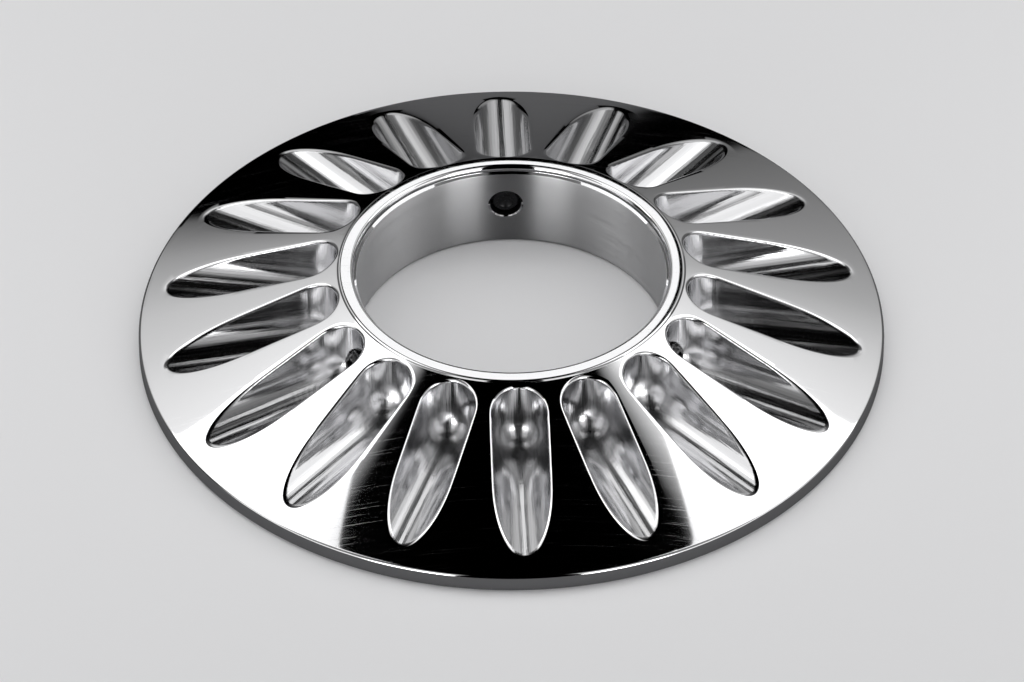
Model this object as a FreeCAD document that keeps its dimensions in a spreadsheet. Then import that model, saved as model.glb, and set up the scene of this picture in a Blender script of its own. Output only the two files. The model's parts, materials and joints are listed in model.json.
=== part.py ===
# Axle nut cover: a fluted, turned ring held on a hub nut by three radial set screws.
# Millimetres. Z is the bore axis, Z = 0 the back face, and +Y runs along the first screw.
import FreeCAD, Part
import math
import os
import Sketcher

V = FreeCAD.Vector
doc = FreeCAD.newDocument("AxleNutCover")

# Driving dimensions
driving_sizes = [
    ("outer_radius", 55.0),        # outside of the rim
    ("rim_height", 2.95),          # back face to the outer edge of the fluted face
    ("rim_break", 0.4),            # chamfer between fluted face and rim wall
    ("rim_back_break", 0.5),       # chamfer round the back of the rim
    ("bore_radius", 22.75),        # clears the corners of the hub nut
    ("bore_height", 12.9),         # back face to the edge of the mouth chamfer
    ("bore_back_break", 0.4),      # chamfer round the bore at the back
    ("mouth_width", 0.4),          # mouth chamfer, measured across
    ("mouth_rise", 0.3),           # mouth chamfer, measured up
    ("bead_radius", 1.3),          # half-round bead round the mouth
    ("foot_angle", 30.0),          # how far up the bead the fluted face meets it, in degrees
    ("cutter_radius", 4.0),        # ball-nosed cutter that makes the flutes
    ("flute_land", 0.52),          # foot of the bead to the end of a flute
    ("flute_floor", 4.0),          # back face to the lowest line of a flute
    ("cutter_run_out", 3.0),       # how far the cutter leaves past the rim
    ("flutes_per_screw", 6),
    ("screw_count", 3),
    ("screw_height", 7.2),         # back face to the screw axes
    ("screw_radius", 2.3),         # mean of crest and root, because the thread itself is left off
    ("screw_clearance", 0.05),     # between screw and hole, on the radius
    ("screw_length", 4.0),
    ("screw_sink", 0.75),          # bore wall to the point of a screw
    ("screw_end_break", 0.35),     # chamfer on both ends of a screw
    ("hole_break", 0.12),          # broken edge where a hole enters the bore
    ("hole_overrun", 1.0),         # how far the hole's cutter runs into the open bore
    ("cup_radius", 1.25),          # edge of the cup point
    ("cup_depth", 0.75),
    ("socket_flats", 2.5),         # hexagon key size
    ("socket_depth", 1.8),
]
sheet = doc.addObject("Spreadsheet::Sheet", "Sizes")
for row, (alias, value) in enumerate(driving_sizes, start=1):
    sheet.set(f"A{row}", alias)
    sheet.set(f"B{row}", str(value))
    sheet.setAlias(f"B{row}", alias)
doc.recompute()

# Places worked out from the driving dimensions
seat_height = "(Sizes.bore_height + Sizes.mouth_rise)"
bead_centre = "(Sizes.bore_radius + Sizes.mouth_width + Sizes.bead_radius)"
foot_radius = f"({bead_centre} + Sizes.bead_radius * cos(Sizes.foot_angle * 1 deg))"
flute_start = f"({foot_radius} + Sizes.flute_land + Sizes.cutter_radius)"
flute_axis = "(Sizes.flute_floor + Sizes.cutter_radius)"
flute_exit = "(Sizes.outer_radius + Sizes.cutter_run_out)"
hole_radius = "(Sizes.screw_radius + Sizes.screw_clearance)"
screw_tip = "(Sizes.bore_radius + Sizes.screw_sink)"
screw_end = "(Sizes.bore_radius + Sizes.screw_sink + Sizes.screw_length)"
axis = "axis"


def size(expression):
    return 0.0 if expression == axis else float(sheet.evalExpression(expression))


def new_body(label):
    body = doc.addObject("PartDesign::Body", label)
    body.Label = label
    return body


def origin_feature(body, role):
    return next(item for item in body.Origin.OriginFeatures if item.Role == role)


# A sketch on one of its body's origin planes, moved along one of its own directions
def new_sketch(body, role, name, moved="", distance=""):
    sketch = body.newObject("Sketcher::SketchObject", name)
    sketch.AttachmentSupport = (origin_feature(body, role), [""])
    sketch.MapMode = "FlatFace"
    if moved:
        sketch.setExpression(f"AttachmentOffset.Base.{moved}", distance)
    return sketch


# Ties a point to the sheet: an expression is a distance, axis puts it on the axis, None leaves it free
def place_point(sketch, curve, point, across, up):
    for kind, expression, axis_line in (("DistanceX", across, -2), ("DistanceY", up, -1)):
        if expression == axis:
            sketch.addConstraint(Sketcher.Constraint("PointOnObject", curve, point, axis_line))
        elif expression is not None:
            rule = Sketcher.Constraint(kind, -1, 1, curve, point, size(expression))
            sketch.setExpression(f"Constraints[{sketch.addConstraint(rule)}]", expression)


def join(sketch, curve, point, other_curve, other_point):
    sketch.addConstraint(Sketcher.Constraint("Coincident", curve, point, other_curve, other_point))


# Straight runs from corner to corner, each corner tied to the sheet unless it is free
def draw_runs(sketch, corners, closed=False, free=()):
    spots = [V(size(across), size(up), 0) for across, up in corners]
    for start, end in zip(spots, spots[1:] + spots[:1] * closed):
        sketch.addGeometry(Part.LineSegment(start, end))
    last = sketch.GeometryCount - 1
    for run in range(last):
        join(sketch, run, 2, run + 1, 1)
    if closed:
        join(sketch, last, 2, 0, 1)
    for corner, (across, up) in enumerate(corners):
        if corner not in free:
            place_point(sketch, min(corner, last), 1 if corner <= last else 2, across, up)
    return last


# A counter-clockwise arc that closes an open chain of runs
def close_with_arc(sketch, centre, radius, angles, start, end):
    across, up = centre
    circle = Part.Circle(V(size(across), size(up), 0), V(0, 0, 1), size(radius))
    arc = sketch.addGeometry(Part.ArcOfCircle(circle, *angles))
    place_point(sketch, arc, 3, across, up)
    join(sketch, arc, 1, *start)
    join(sketch, arc, 2, *end)


def revolve(body, kind, name, sketch, axis_name):
    feature = body.newObject(f"PartDesign::{kind}", name)
    feature.Profile = sketch
    feature.ReferenceAxis = (sketch, [axis_name])
    feature.Angle = 360
    doc.recompute()
    return feature


def polar_pattern(body, name, originals, count):
    pattern = body.newObject("PartDesign::PolarPattern", name)
    pattern.Originals = originals
    pattern.Axis = (origin_feature(body, "Z_Axis"), [""])
    pattern.Angle = 360
    pattern.setExpression("Occurrences", count)
    body.Tip = pattern
    doc.recompute()
    return pattern


# Ring blank, turned: bore, mouth chamfer, bead, cone and rim. Narrow flats carry the round of the bead,
# because a turned arc this small takes several times their facets
bead_flats = 6
bead_turns = [f"(180 - (180 - Sizes.foot_angle) * {flat} / {bead_flats})" for flat in range(bead_flats + 1)]
ring = new_body("cover_ring")
section = new_sketch(ring, "XZ_Plane", "ring_section")
draw_runs(section, [
    (f"{bead_centre} + Sizes.bead_radius * cos({turn} * 1 deg)",
     f"{seat_height} + Sizes.bead_radius * sin({turn} * 1 deg)")
    for turn in bead_turns
] + [
    ("Sizes.outer_radius - Sizes.rim_break", "Sizes.rim_height"),
    ("Sizes.outer_radius", "Sizes.rim_height - Sizes.rim_break"),
    ("Sizes.outer_radius", "Sizes.rim_back_break"),
    ("Sizes.outer_radius - Sizes.rim_back_break", axis),
    ("Sizes.bore_radius + Sizes.bore_back_break", axis),
    ("Sizes.bore_radius", "Sizes.bore_back_break"),
    ("Sizes.bore_radius", "Sizes.bore_height"),
], closed=True)
blank = revolve(ring, "Revolution", "ring_blank", section, "V_Axis")

# One flute: upright walls down to the cutter's ball, then its half-round floor and ball end
walls = new_sketch(ring, "XY_Plane", "flute_walls", "z", flute_axis)
last_run = draw_runs(walls, [
    ("Sizes.cutter_radius", flute_start),
    ("Sizes.cutter_radius", flute_exit),
    ("-Sizes.cutter_radius", flute_exit),
    ("-Sizes.cutter_radius", flute_start),
], free=[0])
place_point(walls, 0, 1, None, flute_start)
close_with_arc(walls, (axis, flute_start), "Sizes.cutter_radius",
               (math.pi, 2 * math.pi), (last_run, 2), (0, 1))
upright = ring.newObject("PartDesign::Pocket", "flute_upright")
upright.Profile = walls
upright.Reversed = True
upright.Type = "ThroughAll"
doc.recompute()

floor = new_sketch(ring, "YZ_Plane", "flute_floor_section", "y", flute_axis)
last_run = draw_runs(floor, [
    (f"{flute_start} - Sizes.cutter_radius", axis),
    (flute_exit, axis),
    (flute_exit, "Sizes.cutter_radius"),
    (flute_start, "Sizes.cutter_radius"),
], free=[0])
place_point(floor, 0, 1, None, axis)
close_with_arc(floor, (flute_start, axis), "Sizes.cutter_radius",
               (math.pi / 2, math.pi), (last_run, 2), (0, 1))
ball_end = revolve(ring, "Groove", "flute_ball_end", floor, "H_Axis")
flutes = polar_pattern(ring, "flutes", [upright, ball_end], "Sizes.screw_count * Sizes.flutes_per_screw")

# Screw holes from the bore into the ends of their flutes
hole_section = new_sketch(ring, "YZ_Plane", "hole_section", "y", "Sizes.screw_height")
draw_runs(hole_section, [
    ("Sizes.bore_radius - Sizes.hole_overrun", axis),
    (flute_start, axis),
    (flute_start, hole_radius),
    ("Sizes.bore_radius + Sizes.hole_break", hole_radius),
    ("Sizes.bore_radius - Sizes.hole_overrun", f"{hole_radius} + Sizes.hole_break + Sizes.hole_overrun"),
], closed=True)
hole = revolve(ring, "Groove", "screw_hole", hole_section, "H_Axis")
holes = polar_pattern(ring, "screw_holes", [hole], "Sizes.screw_count")


# Set screw: chamfered ends, cup point towards the bore, hexagon socket towards the flute
def set_screw(label, turn):
    screw = new_body(label)
    blank_section = new_sketch(screw, "YZ_Plane", f"{label}_section", "y", "Sizes.screw_height")
    draw_runs(blank_section, [
        (f"{screw_tip} + Sizes.cup_depth", axis),
        (screw_end, axis),
        (screw_end, "Sizes.screw_radius - Sizes.screw_end_break"),
        (f"{screw_end} - Sizes.screw_end_break", "Sizes.screw_radius"),
        (f"{screw_tip} + Sizes.screw_end_break", "Sizes.screw_radius"),
        (screw_tip, "Sizes.screw_radius - Sizes.screw_end_break"),
        (screw_tip, "Sizes.cup_radius"),
    ], closed=True)
    revolve(screw, "Revolution", f"{label}_blank", blank_section, "H_Axis")

    hexagon = new_sketch(screw, "XZ_Plane", f"{label}_hexagon", "z", f"-{screw_end}")
    corner_radius = "Sizes.socket_flats / 2 / cos(30 deg)"
    draw_runs(hexagon, [
        (f"{corner_radius} * cos({angle} deg)", f"Sizes.screw_height + {corner_radius} * sin({angle} deg)")
        for angle in range(0, 360, 60)
    ], closed=True)
    socket = screw.newObject("PartDesign::Pocket", f"{label}_socket")
    socket.Profile = hexagon
    socket.Reversed = True
    socket.setExpression("Length", "Sizes.socket_depth")
    screw.Tip = socket
    screw.Placement = FreeCAD.Placement(V(0, 0, 0), FreeCAD.Rotation(V(0, 0, 1), turn))
    doc.recompute()
    return screw


screw_total = round(size("Sizes.screw_count"))
screws = [set_screw(f"set_screw_{number + 1}", -360 / screw_total * number) for number in range(screw_total)]

# Every feature has to build, and every cut has to remove metal
for item in doc.Objects:
    if "Invalid" in item.State or not item.isValid():
        raise RuntimeError(f"{item.Label} did not build: {item.State}")
for before, after in ((blank, upright), (upright, ball_end), (ball_end, flutes), (flutes, hole), (hole, holes)):
    if after.Shape.Volume >= before.Shape.Volume:
        raise RuntimeError(f"{after.Label} removes nothing")

os.makedirs("parts", exist_ok=True)
for body in [ring] + screws:
    shape = body.Shape
    if not shape.isValid() or len(shape.Solids) != 1:
        raise RuntimeError(f"{body.Label} is not one sound solid")
    shape.exportStep(f"parts/{body.Label}.step")
    print(body.Label, "volume", round(shape.Volume, 1), "mm3, box", shape.BoundBox)
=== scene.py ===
import json
import math
import bmesh
import bpy
from mathutils import Matrix, Vector


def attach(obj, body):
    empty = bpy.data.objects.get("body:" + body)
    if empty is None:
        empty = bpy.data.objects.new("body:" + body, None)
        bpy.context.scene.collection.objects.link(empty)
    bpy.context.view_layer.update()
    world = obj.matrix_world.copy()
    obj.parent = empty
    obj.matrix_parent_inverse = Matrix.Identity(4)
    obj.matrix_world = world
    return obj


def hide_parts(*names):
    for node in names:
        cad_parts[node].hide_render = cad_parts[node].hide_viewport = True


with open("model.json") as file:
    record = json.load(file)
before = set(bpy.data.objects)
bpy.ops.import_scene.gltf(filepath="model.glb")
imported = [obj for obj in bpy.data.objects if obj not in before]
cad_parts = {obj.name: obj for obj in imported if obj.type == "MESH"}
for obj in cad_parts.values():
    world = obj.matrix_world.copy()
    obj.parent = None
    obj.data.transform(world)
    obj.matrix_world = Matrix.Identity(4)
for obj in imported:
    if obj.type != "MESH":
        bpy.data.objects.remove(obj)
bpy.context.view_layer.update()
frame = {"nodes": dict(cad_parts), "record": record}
mm = 0.001
fullTurn = 2 * math.pi
quarterTurn = math.pi / 2
print("frame loaded:", ", ".join(sorted(frame["nodes"])))

boreMount = next(mount for mount in frame["record"]["mounts"] if mount["kind"] == "bore")
scene = bpy.context.scene


def meshObject(name, bm):
    mesh = bpy.data.meshes.new(name)
    bm.to_mesh(mesh)
    bm.free()
    mesh.shade_smooth()
    piece = bpy.data.objects.new(name, mesh)
    scene.collection.objects.link(piece)
    return piece


# Material helpers

def newMaterial(name, **values):
    material = bpy.data.materials.new(name)
    material.use_nodes = True
    shader = material.node_tree.nodes["Principled BSDF"]
    for socket, value in values.items():
        shader.inputs[socket.replace("_", " ")].default_value = value
    return material, material.node_tree, shader


def newNode(tree, kind, **settings):
    node = tree.nodes.new(kind)
    for name, value in settings.items():
        setattr(node, name, value)
    return node


# noise drawn out into strokes along one direction; returns its value output
def strokes(tree, source, period, detail, turn=0.0, place=0.0):
    mapping = newNode(tree, "ShaderNodeMapping")
    mapping.inputs["Rotation"].default_value = (0, 0, turn)
    mapping.inputs["Location"].default_value = (place, place, place)
    mapping.inputs["Scale"].default_value = [1 / length for length in period]
    noise = newNode(tree, "ShaderNodeTexNoise")
    noise.inputs["Scale"].default_value = 1.0
    noise.inputs["Detail"].default_value = detail
    tree.links.new(source, mapping.inputs["Vector"])
    tree.links.new(mapping.outputs["Vector"], noise.inputs["Vector"])
    return noise.outputs["Fac"]


def remap(tree, value, span, ends):
    ramp = newNode(tree, "ShaderNodeMapRange")
    for socket, number in zip(("From Min", "From Max", "To Min", "To Max"), span + ends):
        ramp.inputs[socket].default_value = number
    tree.links.new(value, ramp.inputs["Value"])
    return ramp.outputs["Result"]


def combine(tree, operation, first, second):
    node = newNode(tree, "ShaderNodeMath", operation=operation)
    tree.links.new(first, node.inputs[0])
    tree.links.new(second, node.inputs[1])
    return node.outputs["Value"]


def roughen(tree, shader, marks, span, ends):
    tree.links.new(remap(tree, marks, span, ends), shader.inputs["Roughness"])


def raiseMarks(tree, shader, marks, depth, strength):
    bump = newNode(tree, "ShaderNodeBump")
    bump.inputs["Strength"].default_value = strength
    bump.inputs["Distance"].default_value = depth
    tree.links.new(marks, bump.inputs["Height"])
    tree.links.new(bump.outputs["Normal"], shader.inputs["Normal"])


aluminium = (0.91, 0.91, 0.92, 1)
noiseSpan = (0.3, 0.7)             # most of the noise lies between these
plungeRadius = 30.1 * mm           # where the ball-nosed cutter goes in

# Polished face, with faint hairlines from buffing

polish = {
    "lineAngles": (12, 48, 101, 155),
    "linePeriod": (16 * mm, 0.09 * mm, 20 * mm),
    "lineDetail": 1.0,
    "lineSpacing": 3.7,            # moves each set of lines to another part of the noise
    "lineSpan": (0.70, 0.78),      # only the peaks of the noise show
    "roughness": (0.04, 0.16),
}


def polishedFace():
    material, tree, shader = newMaterial("polished face", Base_Color=aluminium, Metallic=1.0)
    coordinates = newNode(tree, "ShaderNodeTexCoord").outputs["Object"]
    hairlines = None
    for number, degrees in enumerate(polish["lineAngles"]):
        line = strokes(tree, coordinates, polish["linePeriod"], polish["lineDetail"],
                       math.radians(degrees), polish["lineSpacing"] * number)
        line = remap(tree, line, polish["lineSpan"], (0.0, 1.0))
        hairlines = line if hairlines is None else combine(tree, "MAXIMUM", hairlines, line)
    roughen(tree, shader, hairlines, (0.0, 1.0), polish["roughness"])
    return material


# Milled flute, with the marks of a ball-nosed cutter

# streaks along the floor, rings where it plunged and scores up the end wall;
# lengths are in millimetres, as its UV is, which runs out from the bore axis and across
milling = {
    "colour": (0.70, 0.70, 0.71, 1),
    "streakPeriod": (11.0, 0.30, 1.0),
    "streakDetail": 3.0,
    "scorePeriod": (0.011, 9.0, 1.0),      # share of a turn, then length, from the plunge
    "ringPeriod": (0.6, 0.55, 1.0),
    "polarDetail": 2.0,                    # of the scores and rings
    "ringFade": (3.0, 8.0),                # distance from the plunge
    "endWall": (-0.4, 0.4),                # where scores change over to streaks
    "markSpan": (0.3, 1.1),
    "roughness": (0.08, 0.26),
    "markDepth": 0.04 * mm,
    "markStrength": 0.5,
}


def milledFlute():
    material, tree, shader = newMaterial("milled flute", Base_Color=milling["colour"], Metallic=1.0)
    flat = newNode(tree, "ShaderNodeTexCoord").outputs["UV"]
    streaks = strokes(tree, flat, milling["streakPeriod"], milling["streakDetail"])

    # distance and direction from the plunge
    centred = newNode(tree, "ShaderNodeVectorMath", operation="SUBTRACT")
    centred.inputs[1].default_value = (plungeRadius / mm, 0, 0)
    tree.links.new(flat, centred.inputs[0])
    reach = newNode(tree, "ShaderNodeVectorMath", operation="LENGTH")
    tree.links.new(centred.outputs["Vector"], reach.inputs[0])
    bearing = newNode(tree, "ShaderNodeTexGradient", gradient_type="RADIAL")
    tree.links.new(centred.outputs["Vector"], bearing.inputs["Vector"])
    polarSpot = newNode(tree, "ShaderNodeCombineXYZ")
    tree.links.new(bearing.outputs["Fac"], polarSpot.inputs["X"])
    tree.links.new(reach.outputs["Value"], polarSpot.inputs["Y"])
    scores = strokes(tree, polarSpot.outputs["Vector"], milling["scorePeriod"], milling["polarDetail"])
    rings = strokes(tree, polarSpot.outputs["Vector"], milling["ringPeriod"], milling["polarDetail"])
    nearPlunge = remap(tree, reach.outputs["Value"], milling["ringFade"], (1.0, 0.0))
    outwards = newNode(tree, "ShaderNodeSeparateXYZ")
    tree.links.new(centred.outputs["Vector"], outwards.inputs["Vector"])
    endWall = remap(tree, outwards.outputs["X"], milling["endWall"], (1.0, 0.0))

    # streaks on the floor change over to scores at the end wall, and the rings lie over both
    blended = newNode(tree, "ShaderNodeMix", data_type="FLOAT")
    tree.links.new(endWall, blended.inputs["Factor"])
    tree.links.new(streaks, blended.inputs["A"])
    tree.links.new(scores, blended.inputs["B"])
    ringShare = combine(tree, "MULTIPLY", rings, nearPlunge)
    marks = combine(tree, "ADD", blended.outputs["Result"], ringShare)
    roughen(tree, shader, marks, milling["markSpan"], milling["roughness"])
    raiseMarks(tree, shader, marks, milling["markDepth"], milling["markStrength"])
    return material


# Turned bore, which spreads light along its axis

turning = {
    "anisotropy": 1.0,
    "anisotropyTurn": 0.25,
    "linePeriod": (60 * mm, 60 * mm, 0.12 * mm),
    "lineDetail": 2.0,
    "roughness": (0.33, 0.43),
    "lineDepth": 0.004 * mm,
    "lineStrength": 1.0,
}


def turnedBore():
    material, tree, shader = newMaterial("turned bore", Base_Color=aluminium, Metallic=1.0,
                                         Anisotropic=turning["anisotropy"],
                                         Anisotropic_Rotation=turning["anisotropyTurn"])
    coordinates = newNode(tree, "ShaderNodeTexCoord").outputs["Object"]
    tangent = newNode(tree, "ShaderNodeTangent", direction_type="RADIAL", axis="Z")
    tree.links.new(tangent.outputs["Tangent"], shader.inputs["Tangent"])
    lines = strokes(tree, coordinates, turning["linePeriod"], turning["lineDetail"])
    roughen(tree, shader, lines, noiseSpan, turning["roughness"])
    raiseMarks(tree, shader, lines, turning["lineDepth"], turning["lineStrength"])
    return material


# Plain finishes, whose roughness varies in patches

facing = {
    "patch": 6 * mm,
    "detail": 4.0,
    "roughness": (0.28, 0.38),
}
# the tapped hole's colour is painted shade: its aluminium walls are made nearly black to stand in for the
# shade inside the hole
tappingWithPaintedShade = {
    "colour": (0.10, 0.10, 0.10, 1),
    "patch": 0.4 * mm,
    "detail": 3.0,
    "roughness": (0.30, 0.45),
}
oxide = {
    "colour": (0.012, 0.012, 0.013, 1),
    "shine": 0.4,
    "patch": 0.5 * mm,
    "detail": 3.0,
    "roughness": (0.14, 0.30),
}


def patchyMaterial(name, finish, **values):
    material, tree, shader = newMaterial(name, **values)
    coordinates = newNode(tree, "ShaderNodeTexCoord").outputs["Object"]
    period = (finish["patch"], finish["patch"], finish["patch"])
    patches = strokes(tree, coordinates, period, finish["detail"])
    roughen(tree, shader, patches, noiseSpan, finish["roughness"])
    return material


def facedBack():
    return patchyMaterial("faced back", facing, Base_Color=aluminium, Metallic=1.0)


# dark material for the hole's walls, its near-black colour painted shade rather than the metal's own
def tappedHoleWithPaintedShade():
    return patchyMaterial("tapped hole, painted shade", tappingWithPaintedShade, Base_Color=tappingWithPaintedShade["colour"], Metallic=1.0)


def blackOxide():
    return patchyMaterial("black oxide", oxide, Base_Color=oxide["colour"], Metallic=0.0,
                          Specular_IOR_Level=oxide["shine"])


faceFinish, fluteFinish, boreFinish, backFinish, shadedHoleFinish = range(5)
ringMaterials = [polishedFace(), milledFlute(), turnedBore(), facedBack(), tappedHoleWithPaintedShade()]
screwMaterial = blackOxide()
print("materials:", len(ringMaterials) + 1)

# Polished ring

ring = {
    "outerRadius": 55.0 * mm,
    "rimHeight": 2.8 * mm,         # where the cone would meet the outside
    "shoulderRound": 0.6 * mm,
    "shoulderSteps": 10,
    "rimBackBreak": 0.5 * mm,
    "coneFall": math.radians(20.58),
    "boreRadius": boreMount["dims"]["r_mm"] * mm,
    "boreHeight": 12.9 * mm,
    "boreBackBreak": 0.4 * mm,
    "boreSteps": 10,
    "mouthWidth": 0.4 * mm,
    "mouthRise": 0.3 * mm,
    "beadRadius": 1.3 * mm,
    "beadSteps": (2, 5),           # outside and inside the crown
    "crownHeight": 0.95 * mm,      # the bead's buffed top, above the middle of its round
    "crownDome": 0.02 * mm,
    "crownSteps": 6,
    "crownRound": 0.15 * mm,
    "crownRoundSteps": 4,
    "footRound": 0.12 * mm,
    "footSteps": 6,
    "cornerRound": 0.07 * mm,      # buffed corners of the turned profile
    "cornerSteps": 3,
    "flutes": 18,
    "cutterRadius": 4.0 * mm,
    "fluteStart": plungeRadius,
    "fluteFloor": 4.0 * mm,
    "edgeReach": 0.40 * mm,        # how far the buffed edge runs onto each side
    "edgeSteps": 5,
    "edgeRoom": 0.60 * mm,         # last row of the flute, which the buffed edge is cut from
    "arcSteps": 24,                # round each flute's share of the ring
    "wallSteps": 18,
    "taperSteps": 12,
    "tipShare": 0.55,              # width of the rounded tip against the whole flute
    "neckSteps": 4,                # up each side of the land between two flutes
    "neckRadius": 30.3 * mm,
    "faceCuts": 4,
    "screws": 3,
    "screwHeight": 7.2 * mm,
    "holeRadius": 2.35 * mm,
    "holeBreak": 0.12 * mm,
    "holeOverrun": 1.0 * mm,
    "holeSteps": 96,
    "sharpAngle": math.radians(32),
}
flutePitch = fullTurn / ring["flutes"]
coneSlope = math.tan(ring["coneFall"])
cutter = ring["cutterRadius"]
ballHeight = ring["fluteFloor"] + cutter
depthSteps = ring["arcSteps"] // 2
fluteRows = ring["wallSteps"] + ring["taperSteps"]
ballColumns = ring["arcSteps"] + 2 * ring["neckSteps"]
tipColumns = 2 * (ring["taperSteps"] + depthSteps)
tipAngle = math.asin(ring["tipShare"])
weldReach = 0.002 * mm
roundProfile = 0.5                 # a bevel with this profile is a round
upward = Vector((0, 0, 1))


def coneHeight(radius):
    return ring["rimHeight"] + (ring["outerRadius"] - radius) * coneSlope


# where the flute floor, at an angle from its lowest line, runs out through the cone
def runOut(angle):
    radius = ring["outerRadius"] - (ballHeight - cutter * math.cos(angle) - ring["rimHeight"]) / coneSlope
    return math.sqrt(radius ** 2 - (cutter * math.sin(angle)) ** 2)


wallEnd = runOut(quarterTurn)


# how far up the flute's section the face lies, measured along the section from its lowest line
def sectionLength(across, out):
    wall = coneHeight(math.hypot(across, out)) - ballHeight
    return cutter * quarterTurn + max(wall, 0.0)


# a point of the section: sideways from the middle of the cutter, and its height
def sectionPoint(length):
    angle = length / cutter
    if angle < quarterTurn:
        return cutter * math.sin(angle), ballHeight - cutter * math.cos(angle)
    return cutter, ballHeight + length - cutter * quarterTurn


# even rows up the section, with a wider one next to the edge
def fromMiddle(share, total):
    lastRow = 1 - 1 / depthSteps
    if share <= lastRow:
        return (total - ring["edgeRoom"]) * share / lastRow
    return total - ring["edgeRoom"] * (1 - share) * depthSteps


# each part of the flute takes shares along its two directions, and gives a point and its place
# on the unrolled flute: out from the bore axis, then sideways
def ballEnd(around, depth):
    turn = (around - 0.5) * math.pi
    edge = Vector((cutter * math.sin(turn), ring["fluteStart"] - cutter * math.cos(turn)))
    length = fromMiddle(depth, sectionLength(edge.x, edge.y))
    sideways, height = sectionPoint(length)
    place = Vector((sideways * math.sin(turn), ring["fluteStart"] - sideways * math.cos(turn), height))
    return place, Vector((ring["fluteStart"] - length * math.cos(turn), length * math.sin(turn)))


def wallOut(row):
    return ring["fluteStart"] + (wallEnd - ring["fluteStart"]) * row / ring["wallSteps"]


def walledPart(along, across):
    out = wallOut(along * ring["wallSteps"])
    share = 2 * across - 1
    length = fromMiddle(abs(share), sectionLength(cutter, out))
    sideways, height = sectionPoint(length)
    place = Vector((math.copysign(sideways, share), out, height))
    return place, Vector((out, math.copysign(length, share)))


# angle of the flute's edge past its walls, up to where the rounded tip takes over
def taperAngle(row):
    return math.acos((row - ring["wallSteps"]) / ring["taperSteps"] * math.cos(tipAngle))


# past the walls the floor fans out from its middle to the edge, drawn on the unrolled floor
def tipEnd(around, depth):
    column = round(around * tipColumns)
    taper = ring["taperSteps"]
    if column < taper:
        angle = -taperAngle(ring["wallSteps"] + column)
    elif column <= tipColumns - taper:
        angle = ((column - taper) / depthSteps - 1) * tipAngle
    else:
        angle = taperAngle(ring["wallSteps"] + tipColumns - column)
    middle = Vector((0, wallEnd))
    edge = Vector((cutter * angle, runOut(angle)))
    reach = (edge - middle).length
    spot = middle.lerp(edge, fromMiddle(depth, reach) / reach)
    turn = spot.x / cutter
    place = Vector((cutter * math.sin(turn), spot.y, ballHeight - cutter * math.cos(turn)))
    return place, Vector((spot.y, spot.x))


# the flute's edge seen from above
def tipPoint(angle):
    return Vector((cutter * math.sin(angle), runOut(angle)))


def edgePoint(row, side):
    if row <= ring["wallSteps"]:
        return Vector((side * cutter, wallOut(row)))
    return tipPoint(side * taperAngle(row))


def polar(radius, angle):
    return Vector((radius * math.sin(angle), radius * math.cos(angle)))


# centres of the bead, of the hollow at its foot and of the rim's shoulder, as radius and height
upFace = Vector((math.sin(ring["coneFall"]), math.cos(ring["coneFall"])))
downFace = Vector((upFace.y, -upFace.x))
rimEdge = Vector((ring["outerRadius"], ring["rimHeight"]))
mouth = Vector((ring["boreRadius"] + ring["mouthWidth"], ring["boreHeight"] + ring["mouthRise"]))
bead = Vector((mouth.x + ring["beadRadius"], mouth.y))
fromBead = rimEdge + ring["footRound"] * upFace - bead
downCone = fromBead.dot(downFace)
footReach = ring["beadRadius"] + ring["footRound"]
upCone = downCone - math.sqrt(downCone ** 2 - fromBead.length_squared + footReach ** 2)
foot = bead + fromBead - upCone * downFace
shoulderDrop = ring["shoulderRound"] * (1 - upFace.x) / upFace.y
shoulder = Vector((rimEdge.x - ring["shoulderRound"], rimEdge.y - shoulderDrop))
faceInner = (foot - ring["footRound"] * upFace).x
faceOuter = (shoulder + ring["shoulderRound"] * upFace).x


def onCone(flat):
    return Vector((flat.x, flat.y, coneHeight(flat.length))), flat


# the land goes up one side of the sector, round the bead and down the other side
def innerFace(around, inwards):
    column = round(around * ballColumns)
    lastArc = ring["neckSteps"] + ring["arcSteps"]
    neck = max(ring["neckSteps"] - column, column - lastArc, 0) / ring["neckSteps"]
    spread = min(max((column - ring["neckSteps"]) / ring["arcSteps"], 0), 1) - 0.5
    line = polar(faceInner + (ring["neckRadius"] - faceInner) * neck, spread * flutePitch)
    edge = ballEnd(around, 1)[0].xy
    return onCone(edge.lerp(line, inwards))


def outerFace(around, outwards):
    line = polar(faceOuter, (around - 0.5) * flutePitch)
    return onCone(tipPoint((2 * around - 1) * tipAngle).lerp(line, outwards))


def sideFace(side):
    def place(along, sideways):
        line = polar(ring["neckRadius"] + (faceOuter - ring["neckRadius"]) * along, side * flutePitch / 2)
        return onCone(edgePoint(along * fluteRows, side).lerp(line, sideways))
    return place


# a grid laid over a surface; place gives each point and where it lies along the strokes
def gridPatch(bm, columns, rows, finish, place):
    made = bmesh.ops.create_grid(bm, x_segments=columns, y_segments=rows, size=0.5)
    strokeLayer = bm.loops.layers.uv.verify()
    spots = {}
    for vert in made["verts"]:
        vert.co, spots[vert] = place(vert.co.x + 0.5, vert.co.y + 0.5)
    for face in {face for vert in made["verts"] for face in vert.link_faces}:
        face.material_index = finish
        for loop in face.loops:
            loop[strokeLayer].uv = spots[loop.vert] / mm


def weld(bm):
    bmesh.ops.remove_doubles(bm, verts=bm.verts, dist=weldReach)
    bmesh.ops.recalc_face_normals(bm, faces=bm.faces)


def onBorder(vert):
    radius = vert.co.xy.length
    turn = abs(math.atan2(vert.co.x, vert.co.y))
    ends = min(abs(radius - faceInner), abs(radius - faceOuter))
    return min(ends, radius * abs(turn - flutePitch / 2)) < weldReach


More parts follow.
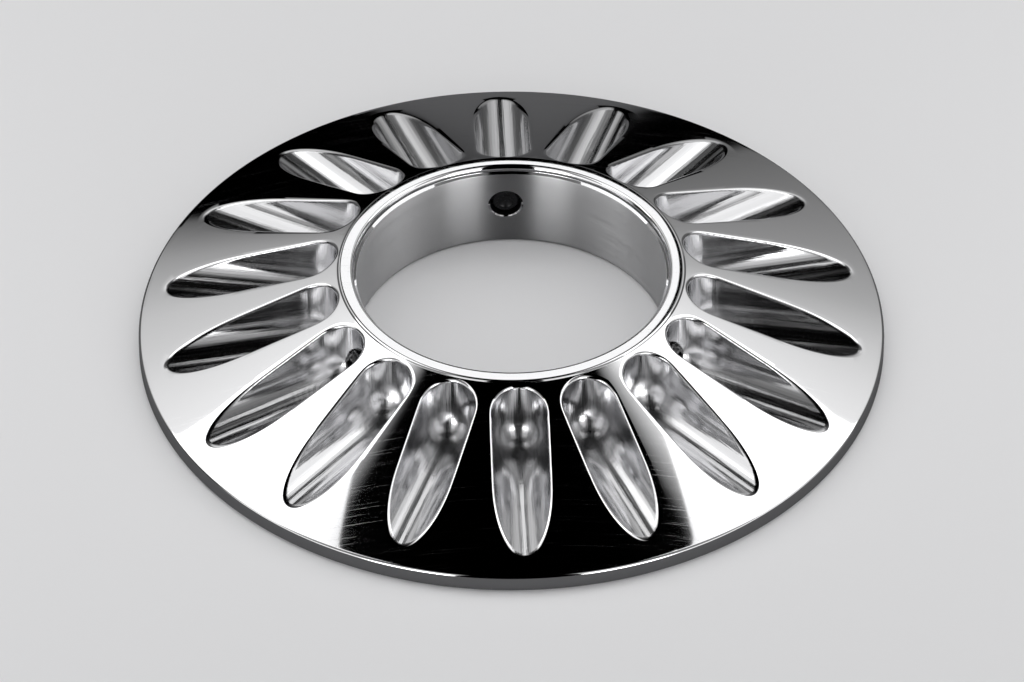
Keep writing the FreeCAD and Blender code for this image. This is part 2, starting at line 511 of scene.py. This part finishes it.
# one flute and its share of the cone, laid out along +Y
def fluteSector(bm):
    gridPatch(bm, ballColumns, depthSteps, fluteFinish, ballEnd)
    gridPatch(bm, ring["wallSteps"], 2 * depthSteps, fluteFinish, walledPart)
    gridPatch(bm, tipColumns, depthSteps, fluteFinish, tipEnd)
    gridPatch(bm, ballColumns, 1, faceFinish, innerFace)
    gridPatch(bm, ring["arcSteps"], 1, faceFinish, outerFace)
    gridPatch(bm, fluteRows, 1, faceFinish, sideFace(-1))
    gridPatch(bm, fluteRows, 1, faceFinish, sideFace(1))
    weld(bm)

    # buffed edge all round the flute
    outline = [edge for edge in bm.edges if len({face.material_index for face in edge.link_faces}) == 2]
    bmesh.ops.bevel(bm, geom=outline, offset=ring["edgeReach"], offset_type="OFFSET",
                    segments=ring["edgeSteps"], profile=roundProfile, affect="EDGES",
                    clamp_overlap=False, loop_slide=True, material=-1)

    # finer rows between that edge and the border of the sector, brought onto the cone
    border = {vert for vert in bm.verts if onBorder(vert)}
    across = [edge for edge in bm.edges if len(border.intersection(edge.verts)) == 1]
    for vert in {vert for edge in across for vert in edge.verts}:
        vert.co.z = coneHeight(vert.co.xy.length)
    cut = bmesh.ops.subdivide_edges(bm, edges=across, cuts=ring["faceCuts"], use_grid_fill=True)
    for item in cut["geom_inner"]:
        if isinstance(item, bmesh.types.BMVert):
            item.co.z = coneHeight(item.co.xy.length)


def arc(centre, radius, start, end, steps):
    angles = [start + (end - start) * step / steps for step in range(steps + 1)]
    return [centre + radius * Vector((math.cos(angle), math.sin(angle))) for angle in angles]


def heading(direction):
    return math.atan2(direction.y, direction.x)


def roundCorners(bm, corners, reach, steps):
    bmesh.ops.bevel(bm, geom=corners, offset=reach, offset_type="OFFSET", segments=steps,
                    profile=roundProfile, affect="VERTICES", material=-1)


# the rest of the profile, from the foot of the bead through the bore and the back to the shoulder
def turnedProfile(bm):
    toFoot = foot - bead
    points = arc(foot, ring["footRound"], heading(-upFace), heading(-toFoot), ring["footSteps"])
    crown = math.asin(ring["crownHeight"] / ring["beadRadius"])
    half = ring["beadRadius"] * math.cos(crown)
    domeRadius = (half ** 2 + ring["crownDome"] ** 2) / (2 * ring["crownDome"])
    dome = bead + Vector((0, ring["crownHeight"] + ring["crownDome"] - domeRadius))
    sweep = math.asin(half / domeRadius)
    outsideSteps, insideSteps = ring["beadSteps"]
    points += arc(bead, ring["beadRadius"], heading(toFoot), crown, outsideSteps)[1:]
    crownEnds = [len(points) - 1]
    points += arc(dome, domeRadius, quarterTurn - sweep, quarterTurn + sweep, ring["crownSteps"])[1:]
    crownEnds.append(len(points) - 1)
    points += arc(bead, ring["beadRadius"], math.pi - crown, math.pi, insideSteps)[1:]
    boreTop = Vector((ring["boreRadius"], ring["boreHeight"]))
    boreFoot = Vector((ring["boreRadius"], ring["boreBackBreak"]))
    sharp = [len(points) - 1, len(points)]
    points += [boreTop.lerp(boreFoot, step / ring["boreSteps"]) for step in range(ring["boreSteps"] + 1)]
    backCorners = [
        Vector((ring["boreRadius"] + ring["boreBackBreak"], 0)),
        Vector((ring["outerRadius"] - ring["rimBackBreak"], 0)),
        Vector((ring["outerRadius"], ring["rimBackBreak"])),
    ]
    sharp += range(len(points) - 1, len(points) + len(backCorners))
    points += backCorners
    points += arc(shoulder, ring["shoulderRound"], 0, heading(upFace), ring["shoulderSteps"])

    # the profile stands on the border between two flutes
    oldVerts = set(bm.verts)
    outwards = polar(1, flutePitch / 2)
    verts = [bm.verts.new((outwards.x * point.x, outwards.y * point.x, point.y)) for point in points]
    for pair in zip(verts, verts[1:]):
        bm.edges.new(pair)
    sharpVerts = [verts[number] for number in sharp]
    crownVerts = [verts[number] for number in crownEnds]
    roundCorners(bm, sharpVerts, ring["cornerRound"], ring["cornerSteps"])
    roundCorners(bm, crownVerts, ring["crownRound"], ring["crownRoundSteps"])
    wire = [vert for vert in bm.verts if vert not in oldVerts]
    wire += [edge for edge in bm.edges if not edge.link_faces]
    return wire


# copies of the whole mesh, evenly round the bore axis
def copyAround(bm, count):
    bmesh.ops.spin(bm, geom=bm.verts[:] + bm.edges[:] + bm.faces[:], cent=(0, 0, 0), axis=upward,
                   dvec=(0, 0, 0), angle=(count - 1) * (fullTurn / count), steps=count - 1,
                   use_duplicate=True)


def spinProfile(bm, profile, centre, axis, steps):
    bmesh.ops.spin(bm, geom=profile, cent=centre, axis=axis, dvec=(0, 0, 0),
                   angle=fullTurn, steps=steps, use_merge=True)


def buildRing():
    bm = bmesh.new()
    fluteSector(bm)
    print("flute sector:", len(bm.faces), "faces")
    copyAround(bm, ring["flutes"])
    spinProfile(bm, turnedProfile(bm), (0, 0, 0), upward, ring["flutes"] * ring["arcSteps"])
    weld(bm)

    # turned faces take their finish from where they lie
    facingDown = -0.5
    boreReach = ring["boreRadius"] + ring["cornerRound"] / 2
    for face in bm.faces:
        centre = face.calc_center_median()
        if centre.z < ring["boreBackBreak"] and face.normal.z < facingDown:
            face.material_index = backFinish
        elif centre.xy.length < boreReach and centre.z < ring["boreHeight"]:
            face.material_index = boreFinish
    print("open edges in the ring:", sum(1 for edge in bm.edges if len(edge.link_faces) != 2))
    return meshObject("polishedRing", bm)


# three cutters along the screw axes, flared where they break into the bore
def holeCutters():
    bm = bmesh.new()
    flare = ring["holeRadius"] + ring["holeBreak"] + ring["holeOverrun"]
    profile = [
        (0, ring["boreRadius"] - ring["holeOverrun"]),
        (flare, ring["boreRadius"] - ring["holeOverrun"]),
        (ring["holeRadius"], ring["boreRadius"] + ring["holeBreak"]),
        (ring["holeRadius"], ring["fluteStart"]),
        (0, ring["fluteStart"]),
    ]
    centre = Vector((0, 0, ring["screwHeight"]))
    verts = [bm.verts.new(centre + Vector((radius, out, 0))) for radius, out in profile]
    edges = [bm.edges.new(pair) for pair in zip(verts, verts[1:])]
    spinProfile(bm, verts + edges, centre, (0, 1, 0), ring["holeSteps"])
    bmesh.ops.remove_doubles(bm, verts=bm.verts, dist=weldReach)
    copyAround(bm, ring["screws"])
    bmesh.ops.recalc_face_normals(bm, faces=bm.faces)
    for face in bm.faces:
        flared = face.calc_center_median().xy.length < ring["boreRadius"] + ring["holeBreak"]
        # the hole's walls take the painted-shade material, the flared break the polished one
        face.material_index = faceFinish if flared else shadedHoleFinish
    return meshObject("holeCutters", bm)


ringPiece = buildRing()
cutters = holeCutters()
for piece in (ringPiece, cutters):
    for material in ringMaterials:
        piece.data.materials.append(material)
drill = ringPiece.modifiers.new("screw holes", "BOOLEAN")
drill.operation = "DIFFERENCE"
drill.solver = "EXACT"
drill.object = cutters
drilled = bpy.data.meshes.new_from_object(ringPiece.evaluated_get(bpy.context.evaluated_depsgraph_get()))
ringPiece.modifiers.remove(drill)
ringPiece.data = drilled
bpy.data.objects.remove(cutters)
drilled.set_sharp_from_angle(angle=ring["sharpAngle"])
weighted = ringPiece.modifiers.new("even shading", "WEIGHTED_NORMAL")
weighted.mode = "FACE_AREA"
weighted.keep_sharp = True
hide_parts("cover_ring")
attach(ringPiece, "cover")
print("ring:", len(drilled.polygons), "faces")

# Set screws

screw = {
    "crest": 2.3 * mm,
    "root": 1.9 * mm,
    "pitch": 0.8 * mm,
    "crestShare": 0.2,             # flat on top of the thread against one pitch
    "tip": 23.5 * mm,              # radius of the cup end
    "length": 4.0 * mm,
    "endRadius": 1.8 * mm,
    "cupRadius": 1.25 * mm,
    "cupDepth": 0.75 * mm,
    "socketFlats": 2.5 * mm,
    "socketDepth": 1.8 * mm,
    "socketPoint": 1.25,           # depth to the drill's point against the socket's depth
    "socketBreak": 0.08 * mm,
    "around": 72,
    "threadSteps": 64,
    "sharpAngle": math.radians(30),
}


def hexagon(turn, flats):
    sixth = math.pi / 3
    return flats / 2 / math.cos((turn % sixth) - sixth / 2)


# radius of the thread at a turn and a length from the cup end, taken down by the lead-in at both ends
def threadRadius(turn, length):
    phase = (length / screw["pitch"] - turn / fullTurn) % 1.0
    ridge = abs(2 * phase - 1)
    share = min(max((ridge - screw["crestShare"]) / (1 - 2 * screw["crestShare"]), 0.0), 1.0)
    radius = screw["root"] + (screw["crest"] - screw["root"]) * (1 - share)
    lead = screw["endRadius"] + min(length, screw["length"] - length)
    return min(radius, lead)


# rings of points from the bottom of the cup, over the thread and down into the socket:
# each has its radius at a turn, and its length from the cup end
def screwStations():
    top = screw["length"]
    flats = screw["socketFlats"]
    mouthFlats = flats + 2 * screw["socketBreak"]
    stations = [(lambda turn: 0.0, screw["cupDepth"]), (lambda turn: screw["cupRadius"], 0.0)]
    for step in range(screw["threadSteps"] + 1):
        length = top * step / screw["threadSteps"]
        stations.append((lambda turn, length=length: threadRadius(turn, length), length))
    stations += [
        (lambda turn: hexagon(turn, mouthFlats), top),
        (lambda turn: hexagon(turn, flats), top - screw["socketBreak"]),
        (lambda turn: hexagon(turn, flats), top - screw["socketDepth"]),
        (lambda turn: 0.0, top - screw["socketDepth"] * screw["socketPoint"]),
    ]
    return stations


def buildScrew(number):
    stations = screwStations()
    rows = len(stations) - 1
    bm = bmesh.new()
    made = bmesh.ops.create_grid(bm, x_segments=screw["around"], y_segments=rows, size=0.5)
    for vert in made["verts"]:
        turn = (vert.co.x + 0.5) * fullTurn
        radiusAt, length = stations[round((vert.co.y + 0.5) * rows)]
        radius = radiusAt(turn)
        vert.co = Vector((radius * math.cos(turn), screw["tip"] + length,
                          ring["screwHeight"] + radius * math.sin(turn)))
    weld(bm)
    toHole = Matrix.Rotation(-number * fullTurn / ring["screws"], 3, "Z")
    bmesh.ops.rotate(bm, verts=bm.verts, cent=(0, 0, 0), matrix=toHole)
    piece = meshObject(f"setScrew{number + 1}", bm)
    piece.data.set_sharp_from_angle(angle=screw["sharpAngle"])
    piece.data.materials.append(screwMaterial)
    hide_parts(f"set_screw_{number + 1}")
    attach(piece, f"screw_{number + 1}")
    return piece


screwPieces = [buildScrew(number) for number in range(ring["screws"])]
print("screws:", len(screwPieces), "of", len(screwPieces[0].data.polygons), "faces")

# Floor, world, lamps and camera

studio = {
    "floorReach": 3.0,
    "floorColour": (0.80, 0.80, 0.81, 1),
    "floorRoughness": 0.7,
    "floorInMetal": (0.12, 0.12, 0.123, 1),
    # brightness of the wall by elevation in degrees: behind the part to the left and right,
    # beside it and in front
    "wallLeft": [(13, 0.0), (14, 0.12), (19, 0.33), (27, 0.56), (37, 0.72), (43, 0.12), (60, 0.0)],
    "wallRight": [(4, 0.0), (5, 0.13), (17, 0.27), (29, 0.46), (37, 0.66), (43, 0.12), (60, 0.0)],
    "wallBeside": [(0, 0.08), (18, 0.12), (27, 0.50), (36, 0.72),
                   (45, 0.88), (52, 1.0), (62, 1.0), (68, 0.0)],
    "wallFront": [(0, 4.2), (12, 4.2), (24, 1.0), (45, 0.5), (60, 0.0)],
    # by the angle from straight behind: the gap there, where the wall beside takes over, and how it fades
    "gap": [(7, 0.0), (12, 1.0)],
    "beside": [(30, 0.0), (36, 1.0)],
    "farSide": [(60, 1.0), (82, 0.1)],
    # by the angle from straight in front: how much of the wall in front shows, and the dark door in it
    "inFront": [(0, 1.0), (38, 1.0), (44, 0.28), (80, 0.20), (110, 0.0)],
    "door": [(17, 0.0), (18.5, 1.0)],
    "belowLevel": 0.45,            # under the floor, which only a view from below reaches
    "belowFade": -0.05,
    "wallLevel": 1.05,
    # two soft boxes over the front corners: the inner edge of each passes a place beside the axis
    # and spreads outwards towards the back
    "boxEdges": [(-112 * mm, 0.35), (122 * mm, 0.35)],
    "boxHeight": 300 * mm,
    "boxBack": 210 * mm,
    "boxFront": 60 * mm,
    "boxFall": (260 * mm, -150 * mm),
    "stripSize": (95 * mm, 142 * mm),
    "stripDistance": 450 * mm,
    "stripBearing": (1.0, 48.0),   # degrees round from behind, and up
    "lampHeight": 1.2,
    "lampSize": 1.2,
    "lampPower": 5.0,
    "cameraAzimuth": -2.17,
    "cameraElevation": 40.9,
    "cameraDistance": 1.1,
    "sensor": 36,
    "lens": 262.0,
    "clip": (0.01, 20),
    "aim": Vector((0, 0, 2.99 * mm)),
    "aimShift": (0.09 * mm, -2.45 * mm),
}


# pale to the camera, and darker where the metal reflects it
def floorFinish():
    material, tree, shader = newMaterial("floor", Base_Color=studio["floorColour"],
                                         Roughness=studio["floorRoughness"])
    inMetal = newNode(tree, "ShaderNodeBsdfDiffuse")
    inMetal.inputs["Color"].default_value = studio["floorInMetal"]
    rays = newNode(tree, "ShaderNodeLightPath")
    mix = newNode(tree, "ShaderNodeMixShader")
    tree.links.new(rays.outputs["Is Glossy Ray"], mix.inputs["Fac"])
    tree.links.new(shader.outputs["BSDF"], mix.inputs[1])
    tree.links.new(inMetal.outputs["BSDF"], mix.inputs[2])
    tree.links.new(mix.outputs["Shader"], tree.nodes["Material Output"].inputs["Surface"])
    return material


bm = bmesh.new()
bmesh.ops.create_grid(bm, x_segments=1, y_segments=1, size=studio["floorReach"])
floor = meshObject("floor", bm)
floor.data.materials.append(floorFinish())


# a ramp with one grey stop for each place and level
def greyRamp(tree, value, stops):
    ramp = newNode(tree, "ShaderNodeValToRGB")
    elements = ramp.color_ramp.elements
    while len(elements) < len(stops):
        elements.new(0.5)
    for element, (place, level) in zip(elements, stops):
        element.position = place
        element.color = (level, level, level, 1)
    tree.links.new(value, ramp.inputs["Fac"])
    return ramp.outputs["Color"]


def blendColours(tree, kind, factor, first, second):
    node = newNode(tree, "ShaderNodeMix", data_type="RGBA", blend_type=kind)
    if factor is None:
        node.inputs["Factor"].default_value = 1.0
    else:
        tree.links.new(factor, node.inputs["Factor"])
    tree.links.new(first, node.inputs["A"])
    tree.links.new(second, node.inputs["B"])
    return node.outputs["Result"]


# the wall is dark overhead, straight behind and at the door that the camera looks through
def buildWorld():
    world = bpy.data.worlds.new("studio")
    scene.world = world
    world.use_nodes = True
    tree = world.node_tree
    outlook = newNode(tree, "ShaderNodeTexCoord").outputs["Generated"]
    parts = newNode(tree, "ShaderNodeSeparateXYZ")
    tree.links.new(outlook, parts.inputs["Vector"])
    compass = newNode(tree, "ShaderNodeTexGradient", gradient_type="RADIAL")
    tree.links.new(outlook, compass.inputs["Vector"])
    rise, bearing = parts.outputs["Z"], compass.outputs["Fac"]
    front, behind, seam = 0.25, 0.75, 0.001        # shares of a full turn of the compass

    def byElevation(name):
        heights = [(math.sin(math.radians(degrees)), level) for degrees, level in studio[name]]
        return greyRamp(tree, rise, heights)

    # stops on both sides of the front or of straight behind
    def byBearing(middle, name):
        right = [(middle + degrees / 360, level) for degrees, level in studio[name]]
        left = [(middle - degrees / 360, level) for degrees, level in reversed(studio[name])]
        return greyRamp(tree, bearing, left + right)

    halves = [(front - seam, 0), (front + seam, 1), (behind - seam, 1), (behind + seam, 0)]
    rightHalf = greyRamp(tree, bearing, halves)
    wall = blendColours(tree, "MIX", rightHalf, byElevation("wallLeft"), byElevation("wallRight"))
    wall = blendColours(tree, "MULTIPLY", None, wall, byBearing(behind, "gap"))
    wall = blendColours(tree, "MIX", byBearing(behind, "beside"), wall, byElevation("wallBeside"))
    wall = blendColours(tree, "MULTIPLY", None, wall, byBearing(behind, "farSide"))
    wall = blendColours(tree, "MIX", byBearing(front, "inFront"), wall, byElevation("wallFront"))
    wall = blendColours(tree, "MULTIPLY", None, wall, byBearing(front, "door"))
    below = remap(tree, rise, (0.0, studio["belowFade"]), (0.0, studio["belowLevel"]))
    wall = blendColours(tree, "ADD", None, wall, below)
    background = tree.nodes["Background"]
    background.inputs["Strength"].default_value = studio["wallLevel"]
    tree.links.new(wall, background.inputs["Color"])


# a flat lamp, spread along two directions, that shines towards the part as brightly as a white wall
def softBox(name, centre, wide, long):
    lamp = bpy.data.lights.new(name, "AREA")
    lamp.shape = "RECTANGLE"
    lamp.size, lamp.size_y = wide.length, long.length
    lamp.energy = studio["wallLevel"] * math.pi * wide.length * long.length
    back = wide.cross(long).normalized()
    if back.dot(centre) < 0:
        wide, back = -wide, -back
    box = bpy.data.objects.new(name, lamp)
    box.rotation_mode = "QUATERNION"
    turned = Matrix((wide.normalized(), long.normalized(), back)).transposed()
    box.rotation_quaternion = turned.to_quaternion()
    box.location = centre
    scene.collection.objects.link(box)


def frontBox(edge, spread):
    outwards = math.copysign(1, edge)
    along = Vector((outwards * spread, 1, 0)).normalized()
    fall, drop = studio["boxFall"]
    slope = Vector((outwards * along.y * fall, -abs(along.x) * fall, drop))
    corner = Vector((edge, 0, studio["boxHeight"]))
    middle = corner + along * (studio["boxBack"] - studio["boxFront"]) / 2 + slope / 2
    softBox("soft box", middle, slope, along * (studio["boxBack"] + studio["boxFront"]))


def backStrip():
    turn, rise = [math.radians(degrees) for degrees in studio["stripBearing"]]
    level = math.cos(rise)
    toStrip = Vector((math.sin(turn) * level, math.cos(turn) * level, math.sin(rise)))
    wide = Vector((math.cos(turn), -math.sin(turn), 0))
    long = wide.cross(toStrip)
    stripWide, stripLong = studio["stripSize"]
    softBox("back strip", toStrip * studio["stripDistance"], wide * stripWide, long * stripLong)


# lights the floor from above, and the polished metal does not show it
def overheadLamp():
    lamp = bpy.data.lights.new("overhead", "AREA")
    lamp.size = studio["lampSize"]
    lamp.energy = studio["lampPower"]
    overhead = bpy.data.objects.new("overhead", lamp)
    overhead.location = (0, 0, studio["lampHeight"])
    overhead.visible_glossy = False
    scene.collection.objects.link(overhead)


buildWorld()
for edge, spread in studio["boxEdges"]:
    frontBox(edge, spread)
backStrip()
overheadLamp()

camera = bpy.data.objects.new("camera", bpy.data.cameras.new("camera"))
camera.data.sensor_width = studio["sensor"]
camera.data.lens = studio["lens"]
camera.data.clip_start, camera.data.clip_end = studio["clip"]
azimuth = math.radians(studio["cameraAzimuth"])
elevation = math.radians(studio["cameraElevation"])
level = math.cos(elevation)
outward = Vector((math.sin(azimuth) * level, -math.cos(azimuth) * level, math.sin(elevation)))
camera.rotation_mode = "QUATERNION"
camera.rotation_quaternion = (-outward).to_track_quat("-Z", "Y")
right, up = studio["aimShift"]
shift = camera.rotation_quaternion @ Vector((right, up, 0))
camera.location = studio["aim"] + shift + outward * studio["cameraDistance"]
scene.collection.objects.link(camera)
scene.camera = camera
scene.view_settings.view_transform = "Standard"
print("studio set")
